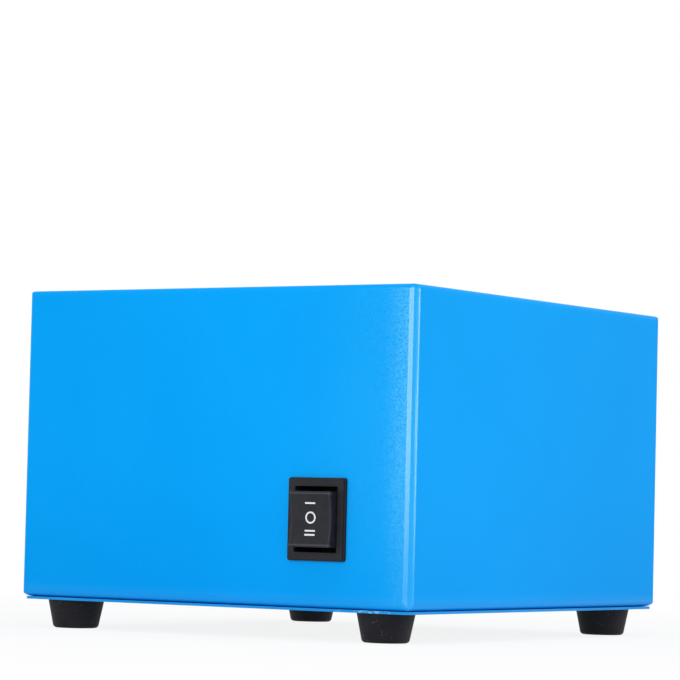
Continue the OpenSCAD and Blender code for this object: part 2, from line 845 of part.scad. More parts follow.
wire_r = 1.2;
wire_sides = 8;
wire_steps = 3;
block_face = block_y - block_d / 2;
lead_y = front_y + receptacle_y + receptacle[1] / 2;
lead_gap = 0.25;
lead_left = switch_x - pole_x - receptacle[0] / 2 - lead_gap;
lead_right = switch_x + pole_x + receptacle[0] / 2 + lead_gap;
lug_tip = fan_back - fan_side / 2 - lug_out - lead_gap;
wire_z = block_hole_z;

module wire(points, tint, first = [0, 0, 1]) color(tint)
    swept_tube(smooth(points, wire_steps), wire_r, wire_sides, first);

module live_wire() wire([
    [lead_right, lead_y, switch_z], [66, lead_y, switch_z], [76, -69, 38], [82, -58, 28],
    [83, -40, 22], [83, 0, 22], [83, 40, 22], [81, 58, 22], [72, 70, 23], [60, 72.4, 22],
    [51.5, 72.6, 20], [50, block_face, wire_z], [50, block_face + 1, wire_z]
], "saddlebrown");

module fan_live_wire() wire([
    [lead_left, lead_y, switch_z + throw_z], [34, lead_y, 52], [27, -76, 44],
    [20, -80, 37], [16.5, -78, fan_z + lug_z], [lug_x - lug_gap, lug_tip, fan_z + lug_z]
], "saddlebrown");

module fan_neutral_wire() wire([
    [lug_x + lug_gap, lug_tip, fan_z + lug_z], [25, -77, 32], [32, -79, 25], [48, -77, 19],
    [64, -71, 17], [76, -60, 17], [79, -42, 16], [79, 0, 16], [79, 42, 16], [76, 60, 16],
    [66, 71, 17], [52, 72.4, 14.6], [43, 72.6, 15.5], [40, block_face, wire_z],
    [40, block_face + 1, wire_z]
], "royalblue");

stud_side = 3.7;
rear_leg = [coil_x, coil_y] + leg_at;
front_leg = [coil_x, coil_y] - leg_at;
lead_z = stud_nut_z + stud_nut_h / 2;

module heater_live_wire() wire([
    [lead_right, lead_y, switch_z + throw_z], [64, lead_y, 54.5], [67, -73, 59],
    [64, -70.5, lead_z], [front_leg[0] + stud_side, front_leg[1], lead_z]
], "white");

module heater_neutral_wire() wire([
    [rear_leg[0] + stud_side, rear_leg[1], lead_z], [-54, 72, 62], [-46, 75, 52], [-34, 75, 40],
    [-14, 74, 32], [10, 73, 28], [24, 72.4, 25], [29, 72.6, 21], [30, block_face, wire_z],
    [30, block_face + 1, wire_z]
], "white");

earth_x = -8;
earth_y = 84;
earth_stud_len = 9;
lug_len = 11;
barrel_x = 4.3;
lug_t = 0.8;
module earth_wire() wire([
    [20, block_face + 1, wire_z], [20, block_face, wire_z], [19, 72.5, 18], [15, 72.3, 16],
    [10.5, 75, 14.5], [8.8, 79, 13.9], [7.6, 83, 13.5], [5.5, earth_y, floor_z + 1.35],
    [earth_x + lug_len + lead_gap, earth_y, floor_z + 1.35]
], "yellowgreen");

module earth_lug() color(brass) translate([earth_x, earth_y, floor_z]) {
    ring(washer_r, m4_r + 0.1, lug_t);
    translate([barrel_x, -1.6, 0]) cube([lug_len - barrel_x, 3.2, 2.5]);
}

module earth_stud() color(zinc) translate([earth_x, earth_y, base_z])
    pan_screw(m4_r, earth_stud_len, m4_head_r, low_head_h);

module earth_nut() color(zinc) translate([earth_x, earth_y, floor_z + lug_t])
    hex_nut(m4_af, m4_nut_h, m4_r + thread_gap);

// Cord gland in the rear wall

gland_r = 6;
gland_flange_r = 9;
gland_dome_r = 7.2;
gland_mouth_r = 6;
gland_round = 1.2;
gland_in = 7;
gland_out = rocker_proud;
cord_bore = 3.6;
rear_y = case_d / 2;

module at_gland() {
    translate([gland_x, rear_y, gland_z]) rotate([-90, 0, 0]) children();
}

module cord_gland() color(black) at_gland() difference() {
    union() {
        translate([0, 0, -gland_in]) cylinder(r = gland_r, h = gland_in + 1);
        cylinder(r = gland_flange_r, h = 2, $fn = 6);
        cylinder(r = gland_dome_r, h = gland_out - gland_round);
        translate([0, 0, gland_out - gland_round])
            cylinder(r1 = gland_dome_r, r2 = gland_mouth_r, h = gland_round);
    }
    translate([0, 0, 0.1]) cylinder(r = cord_bore, h = gland_out);
    translate([0, 0, -gland_in - 1]) cylinder(r = cord_bore + 0.2, h = gland_in + 1.1);
}

gland_nut_af = 17;
gland_nut_h = 4;
module gland_nut() color(black) at_gland() translate([0, 0, -sheet - gland_nut_h])
    hex_nut(gland_nut_af, gland_nut_h, gland_r + thread_gap);

case_shell();
corner_tabs();
mesh_grille();
base_plate();
foot_front_left();
foot_front_right();
foot_rear_left();
foot_rear_right();
foot_screws();
foot_washers();
foot_nuts();
switch_housing();
switch_rocker();
switch_marks();
switch_plungers();
switch_springs();
contact_levers();
switch_terminals();
wire_receptacles();
fan_frame();
fan_impeller();
rotor_cup();
fan_shaft();
fan_bearings();
stator_core();
stator_windings();
fan_label();
fan_lugs();
fan_bolts();
fan_nuts();
heating_element();
heater_brackets();
heater_bushes();
heater_nuts();
heater_insulators();
heater_studs();
stud_nuts();
terminal_block();
terminal_inserts();
terminal_screws();
block_screws();
live_wire();
fan_live_wire();
fan_neutral_wire();
heater_live_wire();
heater_neutral_wire();
earth_wire();
earth_stud();
earth_lug();
earth_nut();
cord_gland();
gland_nut();
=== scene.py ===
import math

import bmesh
import bpy
from mathutils import Matrix, Vector


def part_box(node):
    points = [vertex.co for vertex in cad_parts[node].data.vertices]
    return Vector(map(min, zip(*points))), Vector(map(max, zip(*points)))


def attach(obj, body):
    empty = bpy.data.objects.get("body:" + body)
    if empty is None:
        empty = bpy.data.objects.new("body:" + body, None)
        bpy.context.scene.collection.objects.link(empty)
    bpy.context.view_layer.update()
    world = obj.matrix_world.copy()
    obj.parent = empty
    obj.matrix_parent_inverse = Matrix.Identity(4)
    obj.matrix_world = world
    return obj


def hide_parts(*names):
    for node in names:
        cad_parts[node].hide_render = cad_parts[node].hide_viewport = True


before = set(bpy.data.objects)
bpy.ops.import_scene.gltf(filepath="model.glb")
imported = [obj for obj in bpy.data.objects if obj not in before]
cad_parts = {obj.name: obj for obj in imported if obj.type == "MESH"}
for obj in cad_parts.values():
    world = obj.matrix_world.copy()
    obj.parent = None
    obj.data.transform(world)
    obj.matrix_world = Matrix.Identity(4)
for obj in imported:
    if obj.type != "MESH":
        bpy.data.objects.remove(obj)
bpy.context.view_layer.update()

# Camera: a long lens to the right of the front, five centimetres above the bench and tilted up a little.
# It comes before every piece.
lens_at = Vector((0.71183, -1.11125, 0.04775))
swing, rise, roll = (math.radians(angle) for angle in (32.854, -3.034, 1.375))
back = Vector((math.sin(swing) * math.cos(rise), -math.cos(swing) * math.cos(rise), math.sin(rise)))
level_right = Vector((0, 0, 1)).cross(back).normalized()
level_up = back.cross(level_right)
lens_right = math.cos(roll) * level_right + math.sin(roll) * level_up
lens_up = math.cos(roll) * level_up - math.sin(roll) * level_right
camera = bpy.data.objects.new("camera", bpy.data.cameras.new("camera"))
camera.data.sensor_width = 36
camera.data.lens = 172.328
camera.matrix_world = Matrix.Translation(lens_at) @ Matrix((lens_right, lens_up, back)).transposed().to_4x4()
bpy.context.scene.collection.objects.link(camera)
bpy.context.scene.camera = camera
bpy.context.scene.view_settings.view_transform = "Standard"


# Studio: a pale floor that fades into a white surround. Two upright softboxes stand where the flats on
# the front right fold of the case mirror them to the camera, and a wide one hangs above.
class Socket:
    """A shader socket that takes part in Python expressions: each operator adds a Math node."""

    def __init__(self, tree, link=None):
        self.tree = tree
        self.link = link

    def node(self, kind, settings={}, sockets={}, out=0):
        """Adds a node of any kind: its settings first, then the values or links of its sockets."""
        made = self.tree.nodes.new("ShaderNode" + kind)
        for name, value in settings.items():
            setattr(made, name, value)
        for name, value in sockets.items():
            if isinstance(value, Socket):
                self.tree.links.new(value.link, made.inputs[name])
            else:
                made.inputs[name].default_value = value
        return Socket(self.tree, made.outputs[out])

    def math(self, operation, *values):
        return self.node("Math", {"operation": operation}, dict(enumerate(values)))

    def __add__(self, other):
        return self.math("ADD", self, other)

    def __sub__(self, other):
        return self.math("SUBTRACT", self, other)

    def __rsub__(self, other):
        return self.math("SUBTRACT", other, self)

    def __mul__(self, other):
        return self.math("MULTIPLY", self, other)

    def __truediv__(self, other):
        return self.math("DIVIDE", self, other)

    def __pow__(self, other):
        return self.math("POWER", self, other)

    def __abs__(self):
        return self.math("ABSOLUTE", self)

    __radd__ = __add__
    __rmul__ = __mul__


def shown(start):
    """1 for the rays that show the white surround itself, and 0 for those that light the object."""
    camera_ray, glossy, through = (
        start.node("LightPath", out=ray)
        for ray in ("Is Camera Ray", "Is Glossy Ray", "Is Transmission Ray")
    )
    return start.math("MAXIMUM", start.math("MAXIMUM", camera_ray, glossy), through)


def ramp(value, low, high):
    """Rises smoothly from 0 to 1 as the value goes from low to high."""
    return value.node(
        "MapRange", {"interpolation_type": "SMOOTHSTEP"}, {"Value": value, "From Min": low, "From Max": high}
    )


surround_light = 0.62
world = bpy.data.worlds.new("studio")
world.use_nodes = True
bpy.context.scene.world = world
sky = Socket(world.node_tree)
sky_strength = surround_light + (1 - surround_light) * shown(sky)
backdrop = world.node_tree.nodes["Background"]
backdrop.inputs["Color"].default_value = (1, 1, 1, 1)
world.node_tree.links.new(sky_strength.link, backdrop.inputs["Strength"])

floor_mesh = bmesh.new()
bmesh.ops.create_circle(floor_mesh, cap_ends=True, segments=64, radius=6)
floor = bpy.data.objects.new("floor", bpy.data.meshes.new("floor"))
floor_mesh.to_mesh(floor.data)
floor_mesh.free()
bpy.context.scene.collection.objects.link(floor)
paper = bpy.data.materials.new("white_paper")
paper.use_nodes = True
sheet = Socket(paper.node_tree)
from_middle = sheet.node(
    "VectorMath", {"operation": "LENGTH"}, {0: sheet.node("TexCoord", out="Object")}, out="Value"
)
glow = shown(sheet) * (0.87 + 0.13 * ramp(from_middle, 0.15, 0.6))
matt = sheet.node("BsdfDiffuse", {}, {"Color": (0.86, 0.86, 0.86, 1)})
white = sheet.node("Emission", {}, {"Color": (1, 1, 1, 1), "Strength": 1})
surface = sheet.node("MixShader", {}, {0: glow, 1: matt, 2: white})
paper.node_tree.links.new(surface.link, paper.node_tree.nodes["Material Output"].inputs["Surface"])
floor.data.materials.append(paper)

object_middle = Vector((0, 0, 0.065))


def softbox(name, azimuth, distance, height, width, tall, radiance):
    """A rectangular lamp that faces the object; azimuth 0 is straight in front and 90 to the right."""
    light = bpy.data.lights.new(name, "AREA")
    light.shape = "RECTANGLE"
    light.size = width
    light.size_y = tall
    light.energy = radiance * math.pi * width * tall
    lamp = bpy.data.objects.new(name, light)
    turn = math.radians(azimuth)
    lamp.location = (distance * math.sin(turn), -distance * math.cos(turn), height)
    lamp.rotation_mode = "QUATERNION"
    lamp.rotation_quaternion = (object_middle - lamp.location).to_track_quat("-Z", "Y")
    lamp.visible_camera = False
    bpy.context.scene.collection.objects.link(lamp)


softbox("front_softbox", azimuth=10, distance=1.7, height=0.55, width=0.2, tall=1.1, radiance=12.5)
softbox("right_softbox", azimuth=118, distance=1.7, height=0.55, width=0.2, tall=1.1, radiance=13)
softbox("top_softbox", azimuth=20, distance=0.25, height=1.6, width=0.7, tall=0.7, radiance=3)


# Case: 1 mm steel sheet, cut with the window and the holes, folded, welded at the uprights, ground and
# powder-coated blue. The coat has a fine orange peel. Grinding left two narrow flats on the front right
# fold, where hands have polished the coat. There, and on the front beside it, a paler sheen is painted
# into the blue. The blue is painted darker towards the bottom, the rear and the left as shade, and paler
# on the upper face as light from above.
def noise(place, size, detail=2.0):
    """Cloudy values about the given size in metres, from 0 to 1."""
    return place.node("TexNoise", {}, {"Vector": place, "Scale": 1 / size, "Detail": detail})


def mix(share, first, second):
    """A colour between two, by share."""
    settings = {"data_type": "RGBA"}
    return share.node("Mix", settings, {0: share, 6: first, 7: second}, out=2)


def bump(height, depth):
    """A normal from heights between 0 and 1, at a depth in metres."""
    return height.node("Bump", {}, {"Height": height, "Distance": depth, "Strength": 1.0})


def axes(place):
    """The three coordinates of a place, in metres."""
    return [place.node("SeparateXYZ", {}, {0: place}, out=axis) for axis in ("X", "Y", "Z")]


def finish(name, recipe, constants={}):
    """A material from a recipe that turns the place on the surface into the sockets that vary."""
    material = bpy.data.materials.new(name)
    material.use_nodes = True
    tree = material.node_tree
    shader = tree.nodes["Principled BSDF"]
    for socket, value in constants.items():
        shader.inputs[socket].default_value = value
    place = Socket(tree).node("TexCoord", out="Object")
    for socket, value in recipe(place).items():
        tree.links.new(value.link, shader.inputs[socket])
    return material


def dress(material, *nodes):
    """Gives solids that keep their own shape their finish."""
    for node in nodes:
        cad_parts[node].material_slots[0].material = material


def stand_in(piece, material, slot, body, *nodes):
    """Finishes a new piece, which shows in place of its solids and moves with their body."""
    piece.data.materials.append(material)
    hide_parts(*nodes)
    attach(piece, body)


def new_piece(name, mesh):
    """An object from a finished bmesh, shaded smooth apart from its sharp edges."""
    piece = bpy.data.objects.new(name, bpy.data.meshes.new(name))
    mesh.to_mesh(piece.data)
    mesh.free()
    if "custom_normal" in piece.data.attributes:
        piece.data.attributes.remove(piece.data.attributes["custom_normal"])
    piece.data.polygons.foreach_set("use_smooth", [True] * len(piece.data.polygons))
    piece.data.set_sharp_from_angle(angle=math.radians(38))
    bpy.context.scene.collection.objects.link(piece)
    return piece


def eased(name, node, radius, segments=2, behind=1.0):
    """A copy of a solid whose sharp edges in front of a depth are rounded, as paint or moulding rounds them.
    Its flat faces stay flat in the light right up to the rounded edges."""
    flat = math.radians(0.5)
    sharp = math.radians(40)
    solid = bmesh.new()
    solid.from_mesh(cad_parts[node].data)
    bmesh.ops.remove_doubles(solid, verts=solid.verts, dist=1e-6)
    bmesh.ops.dissolve_limit(solid, angle_limit=flat, verts=solid.verts, edges=solid.edges)
    edges = [
        e for e in solid.edges
        if len(e.link_faces) == 2 and e.calc_face_angle() > sharp and max(v.co.y for v in e.verts) < behind
    ]
    bmesh.ops.bevel(
        solid, geom=edges, offset=radius, segments=segments, profile=0.5, affect="EDGES", clamp_overlap=True
    )
    piece = new_piece(name, solid)
    piece.modifiers.new("flat_faces", "WEIGHTED_NORMAL").keep_sharp = True
    return piece


case_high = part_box("case_shell")[1]
upright_bend = 0.0032


def orange_peel(place):
    """The fine skin that powder leaves as it melts and flows."""
    return 0.8 * noise(place, 0.0008, 1) + 0.2 * noise(place, 0.0025, 1)


def polish_and_painted_sheen_of_the_fold(place, peel):
    """Where hands have made the coat glossier and a paler sheen is painted into its blue: all of the front
    right fold, and the front less and less away from it.
    """
    x, y, z = axes(place)
    soft = 0.0002
    past_side = x - (case_high.x - upright_bend)
    past_front = 0 - y - (case_high.y - upright_bend)
    on_bend = ramp(past_side, 0, soft) * ramp(past_front, 0, soft)
    panel = ramp(past_front, upright_bend - 3 * soft, upright_bend - soft) * (1 - on_bend)
    rubbed_gloss_and_painted_sheen = 0.08 * ramp(x, 0, 0.085) ** 2 + 0.36 * ramp(x, 0.07, 0.0875) ** 2.5
    below_top = 1 - ramp(z, 0.1302, 0.1316)
    height = ramp(z, 0.012, 0.07)
    fold = below_top * (0.8 + 0.2 * height) * on_bend
    front = below_top * (0.3 + 0.7 * height) * panel * rubbed_gloss_and_painted_sheen * (0.4 + 1.2 * ramp(peel, 0.4, 0.6))
    return fold, front


def powder_coat(place):
    x, y, z = axes(place)
    peel = orange_peel(place)
    cloud = noise(place, 0.07)
    coat = mix(ramp(cloud, 0.3, 0.7), (0.002, 0.366, 0.93, 1), (0.003, 0.381, 0.958, 1))
    # Painted shade: the blue is darkened towards the bottom, the rear and the left, where less light falls,
    # but not on the upper face.
    painted_shade = 0.2 * (1 - ramp(z, 0.012, 0.075)) + 0.3 * ramp(y, -0.05, 0.0975)
    painted_shade = painted_shade + 0.16 * (1 - ramp(x, -0.09, 0.05))
    # Painted light: the upper face of the case is coloured paler blue, as lit from above.
    lit_upper_face = ramp(z, case_high.z - 0.0003, case_high.z - 0.0001)
    coat = mix(painted_shade * (1 - lit_upper_face), coat, (0.001, 0.27, 0.72, 1))
    fold, front = polish_and_painted_sheen_of_the_fold(place, peel)
    # Painted sheen: the blue goes paler cyan where the fold and the front beside it shine.
    coat = mix(0.3 * fold + front, coat, (0.02, 0.52, 0.95, 1))
    lower_fold = 1 - ramp(z, 0.0135, 0.019)
    return {
        "Base Color": mix(0.8 * lit_upper_face, coat, (0.008, 0.44, 1, 1)),
        "Roughness": 0.34 + 0.12 * peel,
        "Coat Weight": 0.2 * fold + front + 0.1 * lower_fold,
        "Normal": bump(peel, 0.00006),
    }


blue_gloss = {
    "Specular IOR Level": 0.03,
    "Specular Tint": (0.22, 0.72, 1, 1),
    "Coat Roughness": 0.16,
    "Coat IOR": 2.0,
}


def grind_fold(piece, flats):
    """Grinds flats along the upright fold from front to right, each between two turns from the front."""
    axis = Vector((case_high.x - upright_bend, upright_bend - case_high.y, 0))
    skin = 0.0003
    chord_sag = 0.00002
    turn_slack = 1e-4
    shape = bmesh.new()
    shape.from_mesh(piece.data)

    def turn_of(vert):
        return math.atan2(vert.co.x - axis.x, axis.y - vert.co.y)

    def on_fold(vert):
        out = Vector((vert.co.x - axis.x, axis.y - vert.co.y))
        return out.length > upright_bend - skin and min(out) > -1e-6

    def on_flat(vert, first, last):
        return on_fold(vert) and first - turn_slack < turn_of(vert) < last + turn_slack

    for turn in [turn for flat in flats for turn in flat]:
        faces = [face for face in shape.faces if all(on_fold(vert) for vert in face.verts)]
        parts = dict.fromkeys(part for face in faces for part in (face, *face.edges, *face.verts))
        across = (math.cos(turn), math.sin(turn), 0)
        bmesh.ops.bisect_plane(shape, geom=list(parts), dist=1e-7, plane_co=axis, plane_no=across)
    for first, last in flats:
        middle = (first + last) / 2
        for vert in [vert for vert in shape.verts if on_flat(vert, first, last)]:
            reach = upright_bend * math.cos(middle - first) / math.cos(turn_of(vert) - middle)
            out = Vector((vert.co.x - axis.x, vert.co.y - axis.y, 0))
            if out.length > min(reach, upright_bend - chord_sag):
                vert.co += out * (reach / out.length - 1)
        ground = {face for face in shape.faces if all(on_flat(vert, first, last) for vert in face.verts)}
        for edge in {edge for face in ground for edge in face.edges}:
            edge.smooth = all(face in ground for face in edge.link_faces)
    shape.to_mesh(piece.data)
    shape.free()


blue_paint = finish("blue_powder_coat", powder_coat, blue_gloss)
case = eased("folded_case", "case_shell", 0.0002)
grind_fold(case, ((0.06, 0.62), (1.24, 1.44)))
stand_in(case, blue_paint, "blue_paint", "case", "case_shell")
tabs = eased("welded_tabs", "corner_tabs", 0.0002)
stand_in(tabs, blue_paint, "blue_paint", "case", "corner_tabs")

# Base plate: a flat steel plate punched with the intake holes. Its underside and edges are coated, a
# little duller than the case, and within the case its upper face is painted near black as shade. The
# coat has gathered in pale beads by one foot.
base_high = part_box("base_plate")[1]


def base_coat(place):
    x, y, z = axes(place)
    peel = orange_peel(place)
    beads = ramp(noise(place, 0.0018, 2), 0.52, 0.6)
    by_foot = ramp(x, 0.056, 0.062) * (1 - ramp(x, 0.078, 0.084)) * ramp(0 - y, 0.0953, 0.096)
    coat = mix(ramp(noise(place, 0.03), 0.3, 0.7), (0.01, 0.28, 0.71, 1), (0.016, 0.33, 0.79, 1))
    # Painted shade: within the lip the upper face is coloured near black, where the case shades it.
    inside = ramp(z, base_high.z - 0.00025, base_high.z - 0.00015)
    inside = inside * (1 - ramp(abs(x), 0.0835, 0.085)) * (1 - ramp(abs(y), 0.091, 0.0925))
    painted_shade_black = mix(ramp(noise(place, 0.02, 3), 0.3, 0.7), (0.003, 0.004, 0.007, 1), (0.007, 0.009, 0.015, 1))
    return {
        "Base Color": mix(inside, mix(beads * by_foot, coat, (0.16, 0.5, 0.92, 1)), painted_shade_black),
        "Roughness": 0.4 + 0.14 * peel,
        "Normal": bump(peel + 2 * beads * by_foot, 0.00006),
    }


base_paint = finish("base_powder_coat", base_coat, {"Specular IOR Level": 0.12})
base = eased("punched_base", "base_plate", 0.00018)
stand_in(base, base_paint, "blue_paint", "case", "base_plate")


# Grille: expanded steel. Slits are cut in a sheet, which is pulled open into diamonds, so that each
# strand is a narrow ribbon that stands tilted and joins the next row at the knuckles.
mesh_low, mesh_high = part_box("mesh_grille")
diamond_long = 0.0129
diamond_short = 0.00744
strand_width = 0.0011
strand_thick = 0.0007
strand_tilt = math.radians(40)
knuckle_lap = 0.0004


def strand_section():
    """Outline of one strand across its run: a tilted bar with its corners taken off."""
    half_w, half_t, corner = strand_width / 2, strand_thick / 2, strand_thick * 0.22
    bar = [
        (half_w, corner - half_t), (half_w, half_t - corner), (half_w - corner, half_t),
        (corner - half_w, half_t), (-half_w, half_t - corner), (-half_w, corner - half_t),
        (corner - half_w, -half_t), (half_w - corner, -half_t),
    ]
    tilt = Matrix.Rotation(strand_tilt, 2)
    return [tilt @ Vector(point) for point in bar]


def expanded_metal():
    """Rows of strands that swing from side to side and meet the rows beside them at the knuckles."""
    sharpness = 0.97
    per_diamond = 18
    row_gap = diamond_short / 2
    swing_y = (row_gap - knuckle_lap) / 2
    middle_z = (mesh_low.z + mesh_high.z) / 2
    rows = int((mesh_high.y - swing_y - strand_width) / row_gap)
    steps = int(2 * mesh_high.x / diamond_long * per_diamond)
    section = strand_section()
    sheet = bmesh.new()
    for row in range(-rows, rows + 1):
        rings = []
        for step in range(steps + 1):
            x = mesh_low.x + step * diamond_long / per_diamond
            phase = 2 * math.pi * x / diamond_long + math.pi * row
            y = row * row_gap + swing_y * math.asin(sharpness * math.cos(phase)) / math.asin(sharpness)
            rings.append([sheet.verts.new((x, y + across, middle_z + up)) for across, up in section])
        sheet.faces.new(rings[0])
        sheet.faces.new(rings[-1][::-1])
        for near, far in zip(rings, rings[1:]):
            for i in range(len(section)):
                j = (i + 1) % len(section)
                sheet.faces.new((near[j], near[i], far[i], far[j]))
    bmesh.ops.recalc_face_normals(sheet, faces=sheet.faces)
    return new_piece("expanded_grille", sheet)


def grille_coat_painted_paler(place):
    drops = noise(place, 0.0012, 1)
    tone = noise(place, 0.02)
    return {
        # Painted highlight: the strands share the case's blue coat but are coloured paler, as they look
        # where they catch the light.
        "Base Color": mix(ramp(tone, 0.3, 0.7), (0.045, 0.4, 0.8, 1), (0.08, 0.46, 0.87, 1)),
        "Roughness": 0.26 + 0.14 * drops,
        "Normal": bump(drops, 0.00005),
    }


grille_paint = finish("grille_paint_with_painted_highlight", grille_coat_painted_paler, {"Specular IOR Level": 0.35})
stand_in(expanded_metal(), grille_paint, "grille_paint", "case", "mesh_grille")


# Feet: four conical rubber feet, moulded with a recess for the head of the screw that holds each one
# to the base plate. The skin is matt and dusty, with a few pale specks, and rubbed along the edge it
# stands on.
def moulded_rubber(place):
    z = axes(place)[2]
    grain = noise(place, 0.0005, 2)
    dust = noise(place, 0.006, 3)
    rub = 1 - ramp(z + 0.001 * dust, 0.0004, 0.0026)
    tone = ramp(dust, 0.35, 0.75) * 0.5 + rub * 0.35
    specks = ramp(noise(place, 0.0017, 1), 0.66, 0.71)
    rubber = mix(tone, (0.0065, 0.0065, 0.0095, 1), (0.015, 0.015, 0.019, 1))
    return {
        "Base Color": mix(0.55 * specks, rubber, (0.05, 0.05, 0.055, 1)),
        "Roughness": 0.56 + 0.12 * grain + 0.1 * rub,
        "Normal": bump(grain, 0.00003),
    }


foot_rubber = finish("foot_rubber", moulded_rubber, {"Specular IOR Level": 0.18})
dress(foot_rubber, "foot_front_left", "foot_front_right", "foot_rear_left", "foot_rear_right")


# Fasteners: steel with bright zinc plate, which is faintly cloudy, with a trace of blue and straw
# colour from the passivation bath. The fan's shaft and bearings are as bright, and the bolts that hold
# the fan are oiled black oxide.
def zinc_plate(place):
    cloud = noise(place, 0.003, 3)
    tint = noise(place, 0.008)
    bright = mix(ramp(tint, 0.35, 0.65), (0.56, 0.59, 0.64, 1), (0.66, 0.64, 0.58, 1))
    return {
        "Base Color": mix(ramp(cloud, 0.25, 0.75) * 0.35, bright, (0.42, 0.43, 0.45, 1)),
        "Roughness": 0.24 + 0.2 * cloud,
        "Normal": bump(noise(place, 0.0004, 2), 0.000008),
    }


zinc = finish("bright_zinc", zinc_plate, {"Metallic": 1.0})
dress(
    zinc, "foot_screws", "foot_washers", "foot_nuts", "fan_shaft", "fan_bearings", "heater_studs",
    "stud_nuts", "terminal_screws", "block_screws", "earth_stud", "earth_nut",
)


def black_oxide(place):
    cloud = noise(place, 0.002, 3)
    return {
        "Base Color": mix(cloud, (0.01, 0.01, 0.012, 1), (0.028, 0.027, 0.028, 1)),
        "Roughness": 0.28 + 0.2 * cloud,
        "Normal": bump(noise(place, 0.0004, 2), 0.000008),
    }


dress(finish("black_oxide", black_oxide), "fan_bolts", "fan_nuts")


# Rocker switch: a snap-in housing and a dished rocker, both moulded in black nylon with a fine spark
# texture. The marks are pad-printed in white on the rocker.
def spark_texture(place):
    grain = noise(place, 0.00022, 2)
    tone = noise(place, 0.004)
    return {
        "Base Color": mix(ramp(tone, 0.3, 0.7), (0.0125, 0.013, 0.0175, 1), (0.0175, 0.018, 0.0235, 1)),
        "Roughness": 0.42 + 0.16 * grain,
        "Normal": bump(grain, 0.00002),
    }


switch_plastic = finish("black_nylon", spark_texture, {"Specular IOR Level": 0.22})
housing = eased("switch_frame", "switch_housing", 0.00025)
stand_in(housing, switch_plastic, "switch_plastic", "case", "switch_housing")
rocker_low, rocker_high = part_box("switch_rocker")
rocker_middle = (rocker_low + rocker_high) / 2
rocker_half_w = 0.0091


def spark_texture_with_painted_edge_highlight(place):
    """The spark texture, with a painted highlight of pale lines along the edges of the dished face, which
    are also a little glossier.
    """
    x, y, z = axes(place)
    from_end = (rocker_high.z - rocker_low.z) / 2 - abs(z - rocker_middle.z)
    from_side = rocker_half_w - abs(x - rocker_middle.x)
    face = 1 - ramp(y, rocker_low.y + 0.0012, rocker_low.y + 0.0018)
    ends = ramp(from_end, 0.0004, 0.0006) * (1 - ramp(from_end, 0.001, 0.0013))
    sides = ramp(from_side, 0.0003, 0.0005) * (1 - ramp(from_side, 0.0007, 0.0009))
    polish_and_painted_highlight = face * (ends + 0.4 * sides)
    plain = spark_texture(place)
    # Painted highlight: pale lines along the rim of the dished face.
    plain["Base Color"] = mix(0.6 * polish_and_painted_highlight, plain["Base Color"], (0.075, 0.073, 0.08, 1))
    plain["Roughness"] = plain["Roughness"] - 0.1 * polish_and_painted_highlight
    return plain


rocker_plastic = finish("nylon_with_painted_edge_highlight", spark_texture_with_painted_edge_highlight, {"Specular IOR Level": 0.22})
rocker = eased("dished_rocker", "switch_rocker", 0.0007, 4, -0.0985)
stand_in(rocker, rocker_plastic, "switch_plastic", "rocker", "switch_rocker")


def pad_print(place):
    ink = noise(place, 0.0003, 2)
    return {
        "Base Color": mix(ramp(ink, 0.2, 0.8), (0.74, 0.74, 0.77, 1), (0.9, 0.9, 0.92, 1)),
        "Roughness": 0.4 + 0.2 * ink,
        "Normal": bump(ink, 0.00001),
    }


dress(finish("white_print", pad_print), "switch_marks")


# Works of the switch: natural nylon plungers, pushed by music-wire springs, rock two copper levers
# on the middle terminals. The brass spades take receptacles with red vinyl sleeves.
def natural_nylon(place):
    tone = noise(place, 0.003, 3)
    return {
        "Base Color": mix(ramp(tone, 0.3, 0.7), (0.72, 0.67, 0.53, 1), (0.82, 0.78, 0.66, 1)),
        "Roughness": 0.35 + 0.15 * tone,
        "Normal": bump(noise(place, 0.0004), 0.00001),
    }


ivory = finish("natural_nylon", natural_nylon, {"Specular IOR Level": 0.4})
dress(ivory, "switch_plungers")


def bare_copper(place):
    age = noise(place, 0.002, 3)
    return {
        "Base Color": mix(ramp(age, 0.35, 0.75), (0.78, 0.4, 0.24, 1), (0.5, 0.22, 0.12, 1)),
        "Roughness": 0.22 + 0.2 * age,
        "Normal": bump(noise(place, 0.0003), 0.000006),
    }


copper = finish("bare_copper", bare_copper, {"Metallic": 1.0})
stand_in(eased("rocking_levers", "contact_levers", 0.0001), copper, "copper", "levers", "contact_levers")


def turned_brass(place):
    x, y, z = axes(place)
    age = noise(place, 0.004, 3)
    lines = noise(place.node("CombineXYZ", {}, {0: x * 0.1, 1: y * 0.1, 2: z}), 0.0002, 2)
    return {
        "Base Color": mix(ramp(age, 0.3, 0.8), (0.8, 0.6, 0.26, 1), (0.52, 0.36, 0.14, 1)),
        "Roughness": 0.22 + 0.12 * age + 0.08 * lines,
        "Normal": bump(lines, 0.000006),
    }


brass = finish("turned_brass", turned_brass, {"Metallic": 1.0})
dress(brass, "fan_lugs", "terminal_inserts", "earth_lug")
spades = eased("stamped_spades", "switch_terminals", 0.00012)
stand_in(spades, brass, "brass", "case", "switch_terminals")


def red_vinyl(place):
    tone = noise(place, 0.002, 2)
    return {
        "Base Color": mix(tone, (0.42, 0.012, 0.014, 1), (0.62, 0.03, 0.03, 1)),
        "Roughness": 0.3 + 0.15 * tone,
        "Normal": bump(noise(place, 0.0005), 0.00001),
    }


sleeves = eased("vinyl_sleeves", "wire_receptacles", 0.0004, 3)
stand_in(sleeves, finish("red_vinyl", red_vinyl), "red_sleeve", "case", "wire_receptacles")


